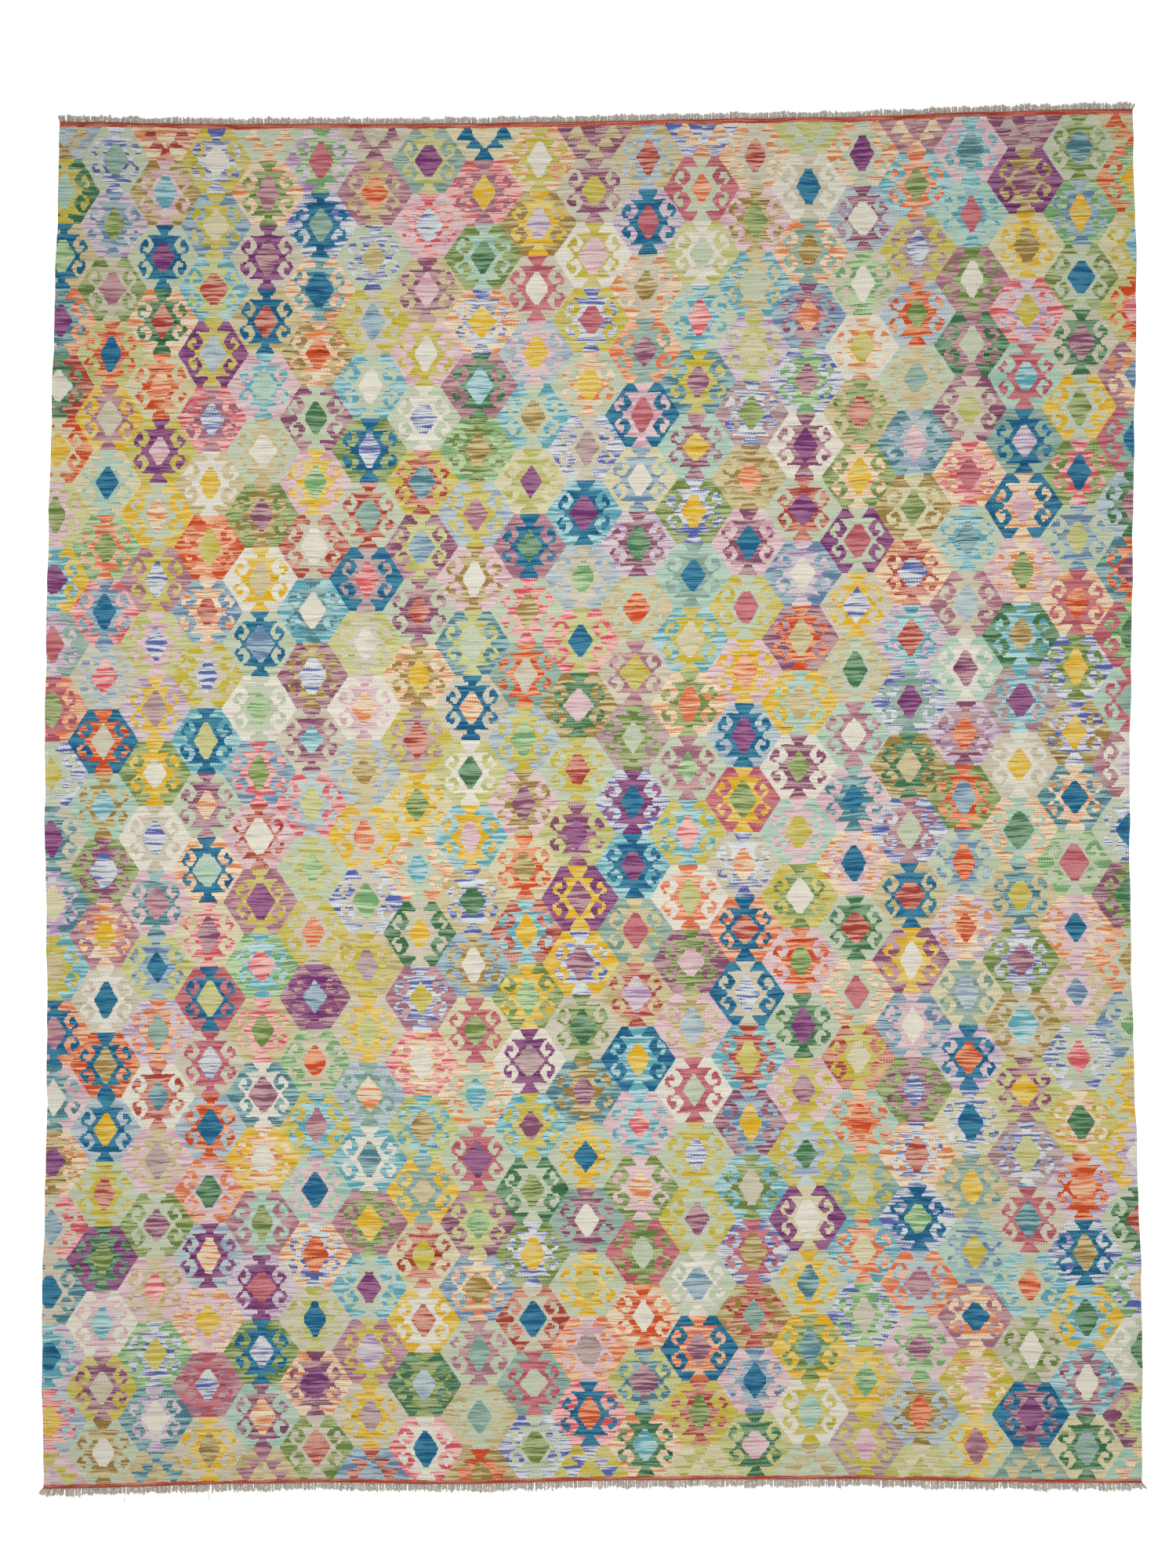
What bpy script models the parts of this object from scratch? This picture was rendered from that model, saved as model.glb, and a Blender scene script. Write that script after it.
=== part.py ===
"""A large flat-woven kilim rug, lying flat: one woven cloth, and the cut warp ends at both of its ends.

The cloth is one piece of weft-faced wool, woven by hand, so its selvedges wander and its ends aren't
square. The warp ends were trimmed short and lie in locks, and the last twined row holds their roots.
Metres, +Z up. The origin is under the middle of the whole rug, +X runs across the cloth and +Y along
the warps.
"""

import math
import random

import bmesh
import bpy
from mathutils import Vector

# The cloth.
CLOTH_THICKNESS = 0.0040
EDGE_ROUND = 0.0014  # the radius of the rounded selvedges and ends
ROUND_STEPS = 2
SELVEDGE_STEPS = 96  # outline points up each selvedge
END_STEPS = 44  # outline points along each end

# Where the selvedges run, from the near end (-Y) to the far end: the share of the length, and each one's X.
SELVEDGES = {
    "share": (0.0, 0.125, 0.25, 0.375, 0.5, 0.625, 0.75, 0.875, 1.0),
    "left": (-1.516, -1.520, -1.508, -1.506, -1.512, -1.508, -1.497, -1.484, -1.471),
    "right": (1.518, 1.518, 1.503, 1.489, 1.484, 1.490, 1.496, 1.503, 1.492),
}
# Where the two ends run, from the left selvedge to the right one: the share of the width, and each end's Y.
ENDS = {
    "share": (0.0, 0.125, 0.25, 0.375, 0.5, 0.625, 0.75, 0.875, 1.0),
    "near": (-1.902, -1.892, -1.884, -1.888, -1.879, -1.876, -1.875, -1.883, -1.885),
    "far": (1.869, 1.863, 1.863, 1.864, 1.870, 1.877, 1.883, 1.897, 1.904),
}
# The small waver that each turn of the weft leaves in a selvedge: wavelength along Y, and reach.
SELVEDGE_WAVERS = {"length": (0.310, 0.173, 0.094), "reach": (0.0011, 0.0009, 0.0006)}
LEFT_PHASE, RIGHT_PHASE = 0.4, 1.9  # in radians, so that the two selvedges don't waver alike

# The fringes.
ROW_GAP = 0.0003  # between the cloth and the twined row
ROW_DEPTH = 0.0040  # the twined row, along Y
ROW_THICKNESS = 0.0036
LOCK_GAP = 0.0022  # between two locks at their roots
LOCKS_PER_END = 150
LOCK_WIDTH_SPREAD = 0.45  # the widest lock is this much over the mean, and the narrowest this much under
LOCK_TIP_THICKNESS = 0.0013
LOCK_LENGTH = 0.0165
LOCK_LENGTH_SPREAD = 0.0030
TIP_PINCH = 0.28  # the most that a lock's tip draws in on each side, as a share of its width
LEAN_WAVES = {"length": (0.83, 0.37, 0.19), "reach": (0.0022, 0.0016, 0.0009)}
SPLAY_FADE = 0.030  # how far in from a corner the locks still splay
# Each fringe: its end, which way it points along Y, its seed, and how far its corner locks splay outwards.
FRINGES = {
    "name": ("fringe_near", "fringe_far"),
    "end": ("near", "far"),
    "side": (-1, 1),
    "seed": (31, 57),
    "splay_left": (0.015, 0.004),
    "splay_right": (0.013, 0.006),
}

CLOTH_COLOUR = (0.49, 0.46, 0.35, 1.0)
WARP_COLOUR = (0.43, 0.39, 0.35, 1.0)


def clear_scene():
    for obj in list(bpy.data.objects):
        bpy.data.objects.remove(obj)


def collection(name):
    made = bpy.data.collections.new(name)
    bpy.context.scene.collection.children.link(made)
    return made


def wool(name, colour):
    """A matt woollen material."""
    material = bpy.data.materials.new(name)
    material.use_nodes = True
    shader = material.node_tree.nodes["Principled BSDF"]
    shader.inputs["Base Color"].default_value = colour
    shader.inputs["Roughness"].default_value = 0.9
    shader.inputs["Metallic"].default_value = 0.0
    return material


def along(shares, values, share):
    """The value at a share of the way, on a smooth curve through a table's column (Catmull-Rom)."""
    last = len(shares) - 1
    step = shares[1] - shares[0]
    i = min(int(share / step), last - 1)
    t = share / step - i
    before, start, end, after = (values[min(max(k, 0), last)] for k in (i - 1, i, i + 1, i + 2))
    slope = (end - before) / 2
    bend = before - 2.5 * start + 2 * end - after / 2
    twist = (after - before + 3 * (start - end)) / 2
    return start + t * (slope + t * (bend + t * twist))


def waves(table, at, phase):
    """A small irregular waver, as a sum of sines."""
    total = 0.0
    for k, (length, reach) in enumerate(zip(table["length"], table["reach"])):
        total += reach * math.sin(2 * math.pi * at / length + phase * (k + 1))
    return total


def end_y(end, across):
    return along(ENDS["share"], ENDS[end], across)


def on_cloth(across, up):
    """The place of a share across the cloth and a share up it, on the table's outline."""
    left, right = (along(SELVEDGES["share"], SELVEDGES[side], up) for side in ("left", "right"))
    y = end_y("near", across) * (1 - up) + end_y("far", across) * up
    wavers = {0.0: waves(SELVEDGE_WAVERS, y, LEFT_PHASE), 1.0: waves(SELVEDGE_WAVERS, y, RIGHT_PHASE)}
    return Vector((left + (right - left) * across + wavers.get(across, 0.0), y, 0.0))


def cloth_outline():
    """The cloth's edge as a ring of points, anticlockwise from the near left corner."""
    ring = [on_cloth(i / END_STEPS, 0.0) for i in range(END_STEPS)]
    ring += [on_cloth(1.0, i / SELVEDGE_STEPS) for i in range(SELVEDGE_STEPS)]
    ring += [on_cloth(1 - i / END_STEPS, 1.0) for i in range(END_STEPS)]
    ring += [on_cloth(0.0, 1 - i / SELVEDGE_STEPS) for i in range(SELVEDGE_STEPS)]
    return ring


def make_cloth(where):
    """The woven cloth: its outline as a filled flat curve, as thick as the cloth, with rounded edges."""
    curve = bpy.data.curves.new("kilim_cloth", "CURVE")
    curve.dimensions = "2D"
    curve.fill_mode = "BOTH"
    curve.extrude = CLOTH_THICKNESS / 2 - EDGE_ROUND
    curve.bevel_depth = EDGE_ROUND
    curve.bevel_resolution = ROUND_STEPS
    curve.offset = -EDGE_ROUND
    ring = cloth_outline()
    spline = curve.splines.new("POLY")
    spline.points.add(len(ring) - 1)
    for point, place in zip(spline.points, ring):
        point.co = (*place, 1.0)
    spline.use_cyclic_u = True
    cloth = bpy.data.objects.new("kilim_cloth", curve)
    cloth.location = (0, 0, CLOTH_THICKNESS / 2)
    curve.materials.append(wool("kilim wool", CLOTH_COLOUR))
    where.objects.link(cloth)
    return cloth


def lock_stations(width, dice):
    """Each lock's two root edges, as distances from the left selvedge."""
    room = width - LOCK_GAP * (LOCKS_PER_END - 1)
    shares = [1 + dice.uniform(-LOCK_WIDTH_SPREAD, LOCK_WIDTH_SPREAD) for _ in range(LOCKS_PER_END)]
    stations, at = [], 0.0
    for share in shares:
        stations.append((at, at + room * share / sum(shares)))
        at = stations[-1][1] + LOCK_GAP
    return stations


def lean(row, at, width):
    """How far along X the tips lean where the roots are this far from the left selvedge."""
    left = FRINGES["splay_left"][row] * math.exp(-at / SPLAY_FADE)
    right = FRINGES["splay_right"][row] * math.exp(-(width - at) / SPLAY_FADE)
    return right - left + waves(LEAN_WAVES, at, 1 + row)


def make_fringe(row, where):
    """One end's fringe: a twined row along the cloth's end, and the locks of warp ends that it holds."""
    name, end, side = (FRINGES[key][row] for key in ("name", "end", "side"))
    dice = random.Random(FRINGES["seed"][row])
    up = 0.0 if side < 0 else 1.0
    left, right = (on_cloth(across, up).x for across in (0.0, 1.0))
    width = right - left
    locks = lock_stations(width, dice)
    stations = [edge for lock in locks for edge in lock]

    def place(at, out):
        """A point this far from the left selvedge, and this far out from the cloth's end."""
        return Vector((left + at, end_y(end, min(max(at / width, 0.0), 1.0)) + side * out, 0.0))

    plan = bmesh.new()
    bmesh.ops.create_grid(plan, x_segments=len(stations) - 1, y_segments=1, size=0.5)
    inner, outer = ([v for v in plan.verts if (v.co.y > 0) == far] for far in (False, True))
    for verts, out in ((inner, ROW_GAP), (outer, ROW_GAP + ROW_DEPTH)):
        verts.sort(key=lambda v: v.co.x)
        for vert, at in zip(verts, stations):
            vert.co = place(at, out)
    top = {v: ROW_THICKNESS for v in inner + outer}

    roots = [plan.edges.get((outer[2 * i], outer[2 * i + 1])) for i in range(LOCKS_PER_END)]
    root_pairs = [(outer[2 * i].co.copy(), outer[2 * i + 1].co.copy()) for i in range(LOCKS_PER_END)]
    grown = bmesh.ops.extrude_edge_only(plan, edges=roots)["geom"]
    tips = sorted((v for v in grown if isinstance(v, bmesh.types.BMVert)), key=lambda v: v.co.x)
    for i, (start, finish) in enumerate(locks):
        length = LOCK_LENGTH + dice.uniform(-LOCK_LENGTH_SPREAD, LOCK_LENGTH_SPREAD)
        slant = dice.uniform(-1, 1) * LOCK_LENGTH_SPREAD / 2
        pinch = [dice.uniform(0, TIP_PINCH) * (finish - start) for _ in range(2)]
        ends = ((start, pinch[0], length - slant), (finish, -pinch[1], length + slant))
        for vert, root, (at, drawn_in, reach) in zip(tips[2 * i : 2 * i + 2], root_pairs[i], ends):
            vert.co = root + Vector((lean(row, at, width) + drawn_in, side * reach, 0.0))
            top[vert] = LOCK_TIP_THICKNESS

    # The plan is the underside, on the floor. A copy of its faces is drawn up to each point's height.
    heights = {tuple(v.co.xy): height for v, height in top.items()}
    drawn = bmesh.ops.extrude_face_region(plan, geom=list(plan.faces), use_keep_orig=True)["geom"]
    for vert in (v for v in drawn if isinstance(v, bmesh.types.BMVert)):
        vert.co.z = heights[tuple(vert.co.xy)]
    bmesh.ops.recalc_face_normals(plan, faces=list(plan.faces))

    mesh = bpy.data.meshes.new(name)
    plan.to_mesh(mesh)
    plan.free()
    mesh.materials.append(wool(name + " warp ends", WARP_COLOUR))
    fringe = bpy.data.objects.new(name, mesh)
    where.objects.link(fringe)
    return fringe


def centre_over_origin(pieces):
    """Moves the whole rug so that the middle of the box round it is over the origin."""
    bpy.context.view_layer.update()
    corners = [piece.matrix_world @ Vector(corner) for piece in pieces for corner in piece.bound_box]
    for axis in (0, 1):
        places = [corner[axis] for corner in corners]
        middle = (min(places) + max(places)) / 2
        for piece in pieces:
            piece.location[axis] -= middle


def main():
    clear_scene()
    rug = collection("kilim rug")
    pieces = [make_cloth(rug)] + [make_fringe(row, rug) for row in range(len(FRINGES["name"]))]
    centre_over_origin(pieces)


main()
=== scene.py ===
"""A large flat-woven kilim rug, lying flat on a pale floor and seen from straight above.

It is one cloth of tapestry weave, covered all over with rows of hexagons that each hold a ram's horn
figure round a diamond. A red band and a twined row close each end, and the warps are cut short there.
Metres, +X across the rug from the left selvedge, +Y along the warps to the far end, +Z up.
"""

import math
import random

import bpy
import numpy as np
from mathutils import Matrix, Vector, noise


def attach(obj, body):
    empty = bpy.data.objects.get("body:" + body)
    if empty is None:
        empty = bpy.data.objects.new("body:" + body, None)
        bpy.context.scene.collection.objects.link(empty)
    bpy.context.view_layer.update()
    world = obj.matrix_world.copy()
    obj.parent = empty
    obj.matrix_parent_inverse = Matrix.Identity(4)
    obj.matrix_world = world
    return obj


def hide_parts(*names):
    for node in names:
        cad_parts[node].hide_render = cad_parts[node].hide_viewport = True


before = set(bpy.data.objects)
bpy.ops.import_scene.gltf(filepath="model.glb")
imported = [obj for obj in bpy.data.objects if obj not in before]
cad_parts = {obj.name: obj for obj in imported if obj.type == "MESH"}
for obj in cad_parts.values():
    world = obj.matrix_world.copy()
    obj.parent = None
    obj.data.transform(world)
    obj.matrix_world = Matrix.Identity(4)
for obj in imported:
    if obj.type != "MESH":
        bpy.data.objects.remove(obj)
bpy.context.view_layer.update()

# --- The cloth ------------------------------------------------------------------------------------
# One piece of weft-faced wool tapestry, woven by hand on a wide loom. Its selvedges wander and its ends
# aren't square, so its warps and wefts are laid out between the real edges. It lies loose on the floor.

CLOTH_THICKNESS = 0.0036
CLOTH_LIFT = 0.0022  # the most that the cloth stands off the floor where it doesn't lie quite flat
LIFT_LENGTH = 0.42  # from one such place to the next
LIFTED = 0.3  # how much of it stands off: at 0 half of it would, and at 1 all of it
PILLOW = 0.0004  # how far the middle of a hexagon swells
EDGE_ROUND = 0.0013  # the radius of the rounded selvedges and ends
EDGE_STEPS = 2

FIRST_COLUMN, LAST_COLUMN = -0.13, 20.0  # the selvedges, in columns of hexagons
ROWS = 21  # of whole hexagons, from band to band
NEAR_BAND, FAR_BAND = 0.029, 0.062  # the red band at each end, in rows
FACES_A_COLUMN, FACES_A_ROW = 8, 10
COLUMN_SPAN = LAST_COLUMN - FIRST_COLUMN
ROW_SPAN = NEAR_BAND + ROWS + FAR_BAND

# How far the columns stray to the side of where even spacing would put them, as a share of the width.
STRAYING = {
    "across": (0.0, 0.15, 0.25, 0.35, 0.5, 0.75, 1.0),
    "far": (0.0, -0.009, -0.011, -0.010, -0.004, -0.004, 0.0),
    "middle": (0.0, -0.006, -0.009, -0.011, -0.013, -0.006, 0.0),
    "near": (0.0, -0.004, -0.006, -0.006, -0.005, -0.003, 0.0),
}
SWAY = {"length": 0.24, "reach": 0.0030}  # the small sway of warps and wefts
END_WAVER, WAVER_LENGTH = 0.0019, 0.09  # how the beaten wefts waver at the two ends
WAVER_POINTS = 160
EDGE_FADE = 12  # how sharply sway, lift and waver die out at the edges

RIM_FROM, RIM_TO = 0.0010, 0.0030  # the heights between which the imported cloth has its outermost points

packed = np.array([v.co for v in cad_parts["kilim_cloth"].data.vertices])
rim = np.unique(packed[(packed[:, 2] > RIM_FROM) & (packed[:, 2] < RIM_TO), :2].round(6), axis=0)
half_size = np.abs(rim).max(axis=0)
rim = rim[np.argsort(np.arctan2(*(rim / half_size).T[::-1]))]


def corner(to_right, to_far):
    """Which point of the rim is the corner on that side."""
    return int(np.argmax(rim / half_size @ (to_right, to_far)))


def rim_between(start, finish, by):
    """The rim from one corner anticlockwise to the next, as the rising coordinate and the other one."""
    side = rim[(start + np.arange((finish - start) % len(rim) + 1)) % len(rim)]
    side = side[np.argsort(side[:, by])]
    return side[:, by], side[:, 1 - by]


def smooth_noise(x, y, length, seed):
    """Soft hills and hollows between about -1 and 1."""
    return np.array([noise.noise(Vector((a / length, b / length, seed))) for a, b in zip(x, y)])


def inside(share):
    """1 in the cloth, and falling to 0 at both of the edges that the share runs between."""
    return np.clip(EDGE_FADE * share * (1 - share), 0, 1)


def wavered(line, seed):
    """An end's line with its small waver, which dies out at the corners."""
    xs = np.linspace(line[0][0], line[0][-1], WAVER_POINTS)
    waver = smooth_noise(xs, 0 * xs, WAVER_LENGTH, seed) * inside(np.linspace(0, 1, WAVER_POINTS))
    return xs, np.interp(xs, *line) + END_WAVER * waver


near_line = wavered(rim_between(corner(-1, -1), corner(1, -1), by=0), seed=1.7)
right_line = rim_between(corner(1, -1), corner(1, 1), by=1)
far_line = wavered(rim_between(corner(1, 1), corner(-1, 1), by=0), seed=6.2)
left_line = rim_between(corner(-1, 1), corner(-1, -1), by=1)


def end_line(line, across):
    """The Y of an end of the cloth at a share of its width."""
    xs, ys = line
    return np.interp(xs[0] + (xs[-1] - xs[0]) * across, xs, ys)


def on_cloth(across, up):
    """The place on the floor of each share across the cloth and each share up it."""
    y = end_line(near_line, across) * (1 - up) + end_line(far_line, across) * up
    left, right = (np.interp(y, *line) for line in (left_line, right_line))
    return left + (right - left) * across, y


def pillow(column, row):
    """How far the cloth swells up at each place, counted in columns and rows."""
    return PILLOW * np.abs(np.cos(np.pi * column)) * np.abs(np.cos(np.pi * row))


half_column = [FIRST_COLUMN, FIRST_COLUMN / 2]
whole_columns = np.linspace(0, LAST_COLUMN, int(LAST_COLUMN) * FACES_A_COLUMN + 1)
column_lines = np.concatenate([half_column, whole_columns])
near_rows = [-NEAR_BAND, -NEAR_BAND / 2]
whole_rows = np.linspace(0, ROWS, ROWS * FACES_A_ROW + 1)
far_rows = [ROWS + FAR_BAND / 2, ROWS + FAR_BAND]
row_lines = np.concatenate([near_rows, whole_rows, far_rows])
faces_across, faces_up = len(column_lines) - 1, len(row_lines) - 1

bpy.ops.object.select_all(action="DESELECT")
bpy.ops.mesh.primitive_grid_add(x_subdivisions=faces_across, y_subdivisions=faces_up, size=2)
cloth = bpy.context.object
cloth.name = cloth.data.name = "cloth"

# The grid's points are spread over the real outline, and each keeps its column and row as the weave map.
flat = np.array([v.co for v in cloth.data.vertices])
column = column_lines[np.rint((flat[:, 0] + 1) / 2 * faces_across).astype(int)]
row = row_lines[np.rint((flat[:, 1] + 1) / 2 * faces_up).astype(int)]
across = (column - FIRST_COLUMN) / COLUMN_SPAN
up = (row + NEAR_BAND) / ROW_SPAN
stray = np.zeros(len(across))
for level, weight in (("near", 1 - 2 * up), ("middle", 1 - np.abs(2 * up - 1)), ("far", 2 * up - 1)):
    stray += np.interp(across, STRAYING["across"], STRAYING[level]) * np.clip(weight, 0, 1)
x, y = on_cloth(across + stray, up)
in_cloth = inside(across) * inside(up)
sway_x = smooth_noise(x, y, SWAY["length"], seed=3.1) * SWAY["reach"] * in_cloth
sway_y = smooth_noise(x, y, SWAY["length"], seed=8.6) * SWAY["reach"] * in_cloth
lift = CLOTH_LIFT * np.clip(LIFTED + smooth_noise(x, y, LIFT_LENGTH, seed=5.3), 0, 1) * in_cloth
places = np.column_stack([x + sway_x, y + sway_y, CLOTH_THICKNESS + lift + pillow(column, row)])
cloth.data.vertices.foreach_set("co", places.ravel())
weave_map = cloth.data.attributes.new("weave", "FLOAT_VECTOR", "POINT")
weave_map.data.foreach_set("vector", np.column_stack([column, row, np.zeros(len(row))]).ravel())

thick = cloth.modifiers.new("thickness", "SOLIDIFY")
thick.thickness = CLOTH_THICKNESS
thick.offset = -1
rounded = cloth.modifiers.new("rounded edge", "BEVEL")
rounded.width = EDGE_ROUND
rounded.segments = EDGE_STEPS
rounded.angle_limit = math.radians(50)  # only the rim's own edges are sharper
for modifier in list(cloth.modifiers):
    bpy.ops.object.modifier_apply(modifier=modifier.name)
bpy.ops.object.mode_set(mode="EDIT")
bpy.ops.mesh.select_all(action="SELECT")
bpy.ops.mesh.normals_make_consistent(inside=False)
bpy.ops.object.mode_set(mode="OBJECT")
bpy.ops.object.shade_smooth_by_angle(angle=math.radians(60))

# In the cloth's flat map the top and the underside lie on each other, and the rim is a thin frame. The
# foot of its upright wall is the border of the map.
FRAME = 0.006  # the width of that frame, as a share of the map
ROUND_SHARE = 0.8  # of the frame, for the rounded edges. The rest is for the wall between them
CLOSE = 0.001  # to an edge, in columns or rows

mesh = cloth.data
spots = np.zeros((len(mesh.vertices), 3))
mesh.attributes["weave"].data.foreach_get("vector", spots.reshape(-1))
height = np.array([v.co.z for v in mesh.vertices]) - pillow(spots[:, 0], spots[:, 1])
round_edge = np.clip(np.minimum(CLOTH_THICKNESS - height, height) / EDGE_ROUND, 0, 1)
round_edge[(height < CLOTH_THICKNESS / 2) & (round_edge > 0.9)] = 1 / ROUND_SHARE
on_edge = (spots[:, 0] < FIRST_COLUMN + CLOSE) | (spots[:, 0] > LAST_COLUMN - CLOSE)
on_edge |= (spots[:, 1] < CLOSE - NEAR_BAND) | (spots[:, 1] > ROWS + FAR_BAND - CLOSE)
inset = FRAME * (1 - ROUND_SHARE * np.where(on_edge, round_edge, 0))
shares = (spots[:, :2] - (FIRST_COLUMN, -NEAR_BAND)) / (COLUMN_SPAN, ROW_SPAN)
flat_map = inset[:, None] + shares * (1 - 2 * inset[:, None])
face_points = [point for face in mesh.polygons for point in face.vertices]
mesh.uv_layers.new(name="OFBake").data.foreach_set("uv", flat_map[face_points].ravel())

# The yarns are handspun and dyed in small lots, so each has a ground tone and flecks of another that lie in
# the cloth as short streaks. Each hexagon takes three, and the strong ones go mostly into the figures.
# Each yarn: its ground and its flecks as sRGB, how much of it is flecked, and how often it comes in a full
# basket for the hexagons' fields, and in one for the figures and diamonds on them.
YARNS = {
    #               ground           flecks           flecked fields figures
    "cream": ((229, 224, 208), (214, 205, 191), 0.22, 3, 5),
    "petrol": ((70, 134, 161), (30, 92, 130), 0.45, 2, 6),
    "golden": ((228, 206, 133), (224, 176, 43), 0.50, 3, 5),
    "chartreuse": ((208, 198, 133), (198, 178, 57), 0.43, 4, 4),
    "leaf": ((192, 209, 165), (117, 164, 110), 0.45, 2, 2),
    "sage": ((199, 205, 181), (187, 198, 165), 0.33, 8, 4),
    "oatmeal": ((210, 202, 182), (195, 186, 157), 0.33, 5, 3),
    "salmon": ((218, 163, 145), (169, 66, 53), 0.45, 1, 3),
    "rose": ((203, 129, 133), (176, 86, 96), 0.41, 1, 3),
    "plum": ((196, 162, 162), (134, 78, 106), 0.45, 3, 5),
    "purple": ((160, 108, 143), (113, 54, 107), 0.43, 1, 3),
    "blush": ((225, 201, 198), (205, 157, 169), 0.33, 5, 3),
    "coral": ((236, 190, 182), (212, 87, 93), 0.41, 2, 2),
    "lilac": ((215, 203, 204), (170, 132, 174), 0.31, 3, 1),
    "sky": ((218, 220, 217), (89, 102, 169), 0.39, 4, 4),
    "turquoise": ((185, 213, 211), (97, 164, 176), 0.47, 4, 3),
    "steel": ((172, 191, 194), (101, 130, 163), 0.41, 2, 2),
    "mist": ((192, 204, 201), (149, 164, 184), 0.37, 3, 1),
    "peach": ((233, 217, 188), (221, 132, 78), 0.37, 5, 3),
    "khaki": ((207, 192, 147), (158, 126, 67), 0.47, 2, 3),
    "forest": ((136, 167, 134), (66, 111, 74), 0.49, 1, 3),
    "moss": ((176, 186, 134), (108, 130, 66), 0.43, 4, 4),
    "verdigris": ((164, 185, 169), (119, 153, 142), 0.38, 2, 2),
    "mint": ((190, 208, 189), (149, 191, 173), 0.33, 3, 1),
    "rust": ((235, 171, 131), (205, 76, 39), 0.49, 1, 3),
    "straw": ((219, 211, 177), (203, 192, 144), 0.31, 3, 1),
    "heather": ((197, 176, 169), (160, 129, 133), 0.37, 1, 1),
    "madder": ((200, 161, 160), (160, 107, 123), 0.45, 3, 2),
    "sand": ((213, 198, 160), (183, 166, 111), 0.33, 4, 2),
    "teal": ((161, 189, 184), (79, 125, 136), 0.47, 2, 2),
    "apricot": ((237, 194, 159), (220, 116, 77), 0.45, 2, 2),
    "lime": ((206, 204, 152), (182, 180, 96), 0.33, 3, 2),
}
LEAST_CONTRAST = {"fields": 24, "figures": 36}  # between two yarns that meet, out of 255
LEAST_IN_BASKET = 12  # yarns to choose from, before a basket is filled up


def contrast(one, other):
    """How far apart two yarns look from a step away."""
    seen = []
    for ground, flecks, flecked, *_ in (YARNS[one], YARNS[other]):
        seen.append([g + (f - g) * flecked for g, f in zip(ground, flecks)])
    return math.dist(*seen)


baskets, dice = {"fields": [], "figures": []}, random.Random(902)


def take_yarn(use, unlike):
    """The next yarn out of a basket that differs enough from those it will lie against."""
    basket = baskets[use]
    if len(basket) < LEAST_IN_BASKET:
        full = []
        for name, (_, _, _, in_fields, in_figures) in YARNS.items():
            full += [name] * (in_fields if use == "fields" else in_figures)
        dice.shuffle(full)
        basket[:0] = full
    for place in range(len(basket) - 1, -1, -1):
        if all(contrast(basket[place], other) > LEAST_CONTRAST[use] for other in unlike):
            return basket.pop(place)
    return basket.pop()


hexagons = {}  # the field's, figure's and diamond's yarns of each, by its column and its level in half rows
for level in range(2 * ROWS + 1):
    for c in range(-1 if level % 2 else 0, int(LAST_COLUMN) + 2, 2):
        below = ((c, level - 2), (c - 1, level - 1), (c + 1, level - 1))
        around = [hexagons[place] for place in below if place in hexagons]
        field = take_yarn("fields", [yarns[0] for yarns in around])
        motif = take_yarn("figures", [field])
        hexagons[c, level] = (field, motif, take_yarn("figures", [field, motif]))

# A face of the cloth may lie across the line between two hexagons, so it carries the yarns of both.
names = list(YARNS)
even_yarns, odd_yarns = [], []
for face in mesh.polygons:
    column_at, row_at, _ = spots[list(face.vertices)].mean(axis=0)
    c = int(min(max(math.floor(column_at), -1), LAST_COLUMN - 1))
    level = int(min(max(math.floor(2 * row_at), 0), 2 * ROWS - 1))
    even_column, odd_column = (c, c + 1) if c % 2 == 0 else (c + 1, c)
    even = hexagons[even_column, level + level % 2]
    odd = hexagons[odd_column, level + (level + 1) % 2]
    even_yarns += [(names.index(name) + 0.5) / len(names) for name in even]
    odd_yarns += [(names.index(name) + 0.5) / len(names) for name in odd]
for attribute, values in (("even_yarns", even_yarns), ("odd_yarns", odd_yarns)):
    mesh.attributes.new(attribute, "FLOAT_VECTOR", "FACE").data.foreach_set("vector", values)


class Value:
    """A shader node's output. Sums and comparisons on it add Math nodes."""

    def __init__(self, material, socket):
        self.material, self.socket = material, socket

    def sum(self, operation, *values):
        """Adds the Math node of an operation."""
        return self.material.node("Math", {"operation": operation}, values)

    def __add__(self, other):
        return self.sum("ADD", self, other)

    def __sub__(self, other):
        return self.sum("SUBTRACT", self, other)

    def __rsub__(self, other):
        return self.sum("SUBTRACT", other, self)

    def __mul__(self, other):
        return self.sum("MULTIPLY", self, other)

    def __truediv__(self, other):
        return self.sum("DIVIDE", self, other)

    def __mod__(self, other):
        return self.sum("FLOORED_MODULO", self, other)

    def __lt__(self, other):
        return self.sum("LESS_THAN", self, other)

    def __gt__(self, other):
        return self.sum("GREATER_THAN", self, other)

    def __abs__(self):
        return self.sum("ABSOLUTE", self)

    def __floor__(self):
        return self.sum("FLOOR", self)

    def most(self, other):
        return self.sum("MAXIMUM", self, other)

    def least(self, other):
        return self.sum("MINIMUM", self, other)

    def between(self, low, high):
        """0 below low, 1 above high, and a smooth rise between them."""
        return self.material.node("MapRange", {"interpolation_type": "SMOOTHSTEP"}, (self, low, high))

    __radd__, __rmul__ = __add__, __mul__


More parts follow.
